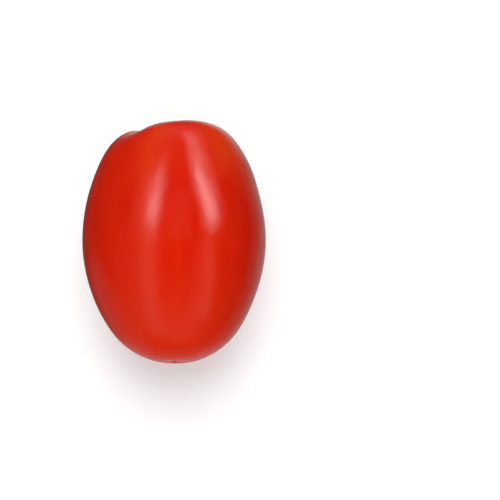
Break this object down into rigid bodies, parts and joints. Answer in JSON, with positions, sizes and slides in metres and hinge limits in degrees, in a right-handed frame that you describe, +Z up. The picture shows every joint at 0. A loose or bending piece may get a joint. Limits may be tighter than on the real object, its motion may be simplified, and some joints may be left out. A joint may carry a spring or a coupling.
{
  "type": "plum tomato",
  "caption": "Whole ripe plum tomato lying on its side, with lobed shoulders, a stem hollow with a corky scar and a small flat rest spot underneath.",
  "frame": {"origin": "centre of the bounding box on the surface that the fruit lies on", "axes": "+Z up; +Y along the fruit's long axis towards the stem end; +X to the right as seen from above"},
  "size_m": [0.0544, 0.0702, 0.0549],
  "materials": {
    "skin": "smooth waxy skin, ripe red, paler orange at the shoulders, corky brown scar at the stem end"
  },
  "bodies": {
    "root": {"tomato": "skin"}
  },
  "joints": []
}
